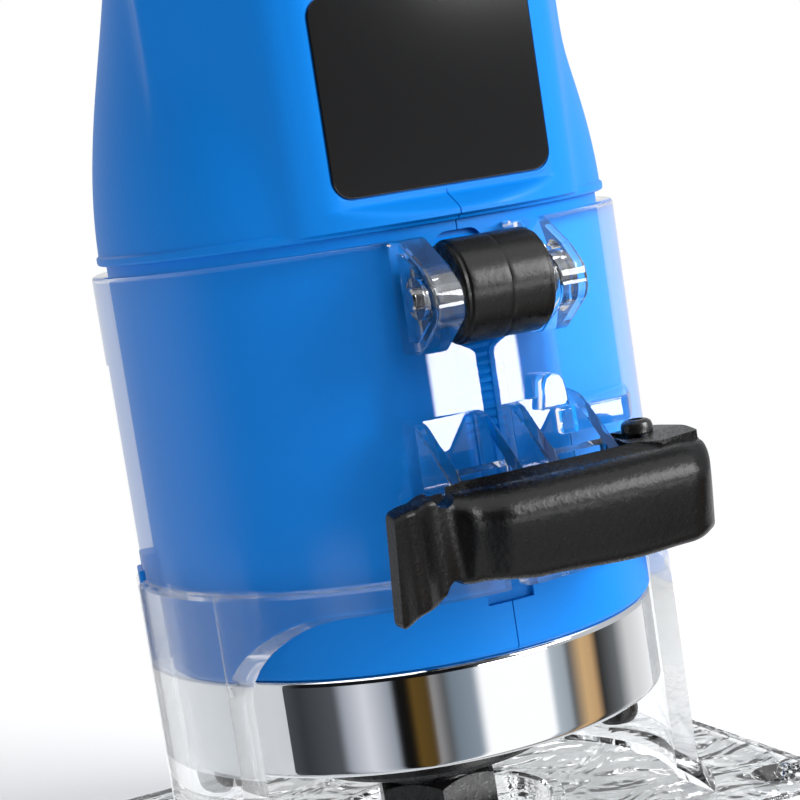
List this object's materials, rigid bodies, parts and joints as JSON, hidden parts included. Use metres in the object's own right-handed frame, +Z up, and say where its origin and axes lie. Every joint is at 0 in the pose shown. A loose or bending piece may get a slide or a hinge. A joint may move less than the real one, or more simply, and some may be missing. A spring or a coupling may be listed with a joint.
{
  "type": "trim router",
  "caption": "Hand-held trim router: a blue motor unit that slides in a clear base with a depth roller and a cam clamp lever.",
  "frame": {"origin": "on the spindle axis at the underside of the base plate", "axes": "+Z up along the spindle axis, -Y the front with the clamp lever and the roller, +X to the right of someone facing the front"},
  "size_m": [0.092, 0.099, 0.1992],
  "materials": {
    "clear_polycarbonate": "clear",
    "blue_abs": "fine spark texture",
    "black_nylon": "fine spark texture",
    "black_rubber": "satin",
    "black_label": "satin",
    "polished_aluminium": "polished",
    "steel": "bright",
    "black_steel": "black oxide",
    "lamination_steel": "matt",
    "copper": "enamelled",
    "brass": "plain",
    "carbon": "matt"
  },
  "bodies": {
    "root": {"base": "clear_polycarbonate", "roller_axle": "steel", "tension_bolt": "steel", "clamp_nut": "black_steel", "pivot_screw": "black_steel"},
    "motor": {"housing_left": "blue_abs", "housing_right": "blue_abs", "rating_plate": "black_label", "top_cap": "blue_abs", "cord_inlet": "black_nylon", "switch_body": "black_nylon", "brush_caps": "black_nylon", "brush_holders": "brass", "carbon_brushes": "carbon", "brush_springs": "steel", "nose_ring": "polished_aluminium", "bearing_cover": "black_steel", "nose_screws": "black_steel", "case_screws": "black_steel", "fan_baffle": "black_nylon", "stator_core": "lamination_steel", "field_coils": "copper", "lower_bearing_outer": "steel", "upper_bearing_outer": "steel"},
    "depth_roller": {"roller": "black_rubber"},
    "lever": {"clamp_lever": "black_nylon"},
    "rotor": {"spindle": "steel", "slinger": "black_steel", "fan": "black_nylon", "armature_core": "lamination_steel", "armature_coils": "copper", "commutator": "copper", "lower_bearing_balls": "steel", "lower_bearing_inner": "steel", "upper_bearing_balls": "steel", "upper_bearing_inner": "steel"},
    "collet_chuck": {"collet": "steel"},
    "nut": {"collet_nut": "black_steel"},
    "switch_button": {"switch_slider": "black_nylon"}
  },
  "joints": [
    {"name": "motor_slide", "type": "slide", "parent": "root", "child": "motor", "axis": [0, 0, 1], "range_m": [-0.0009, 0.024]},
    {"name": "roller_spin", "type": "hinge", "parent": "root", "child": "depth_roller", "pos_m": [0, -0.0386, 0.0763], "axis": [1, 0, 0], "range_deg": [-9, 226]},
    {"name": "lever_swing", "type": "hinge", "parent": "root", "child": "lever", "pos_m": [0.0152, -0.041, 0.0502], "axis": [0, 0, 1], "range_deg": [0, 120]},
    {"name": "spindle_spin", "type": "hinge", "parent": "motor", "child": "rotor", "pos_m": [0, 0, 0.05], "axis": [0, 0, 1], "continuous": true},
    {"name": "collet_draw", "type": "slide", "parent": "rotor", "child": "collet_chuck", "axis": [0, 0, -1], "range_m": [0, 0.001]},
    {"name": "nut_turn", "type": "hinge", "parent": "collet_chuck", "child": "nut", "pos_m": [0, 0, 0.006], "axis": [0, 0, -1], "range_deg": [0, 360]},
    {"name": "switch_slide", "type": "slide", "parent": "motor", "child": "switch_button", "axis": [0, 0, 1], "range_m": [0, 0.005]}
  ],
  "couplings": [
    {"joint": "roller_spin", "follows": "motor_slide", "rad_per_m": 163.93},
    {"joint": "collet_draw", "follows": "nut_turn", "m_per_rad": 0.00015915}
  ]
}
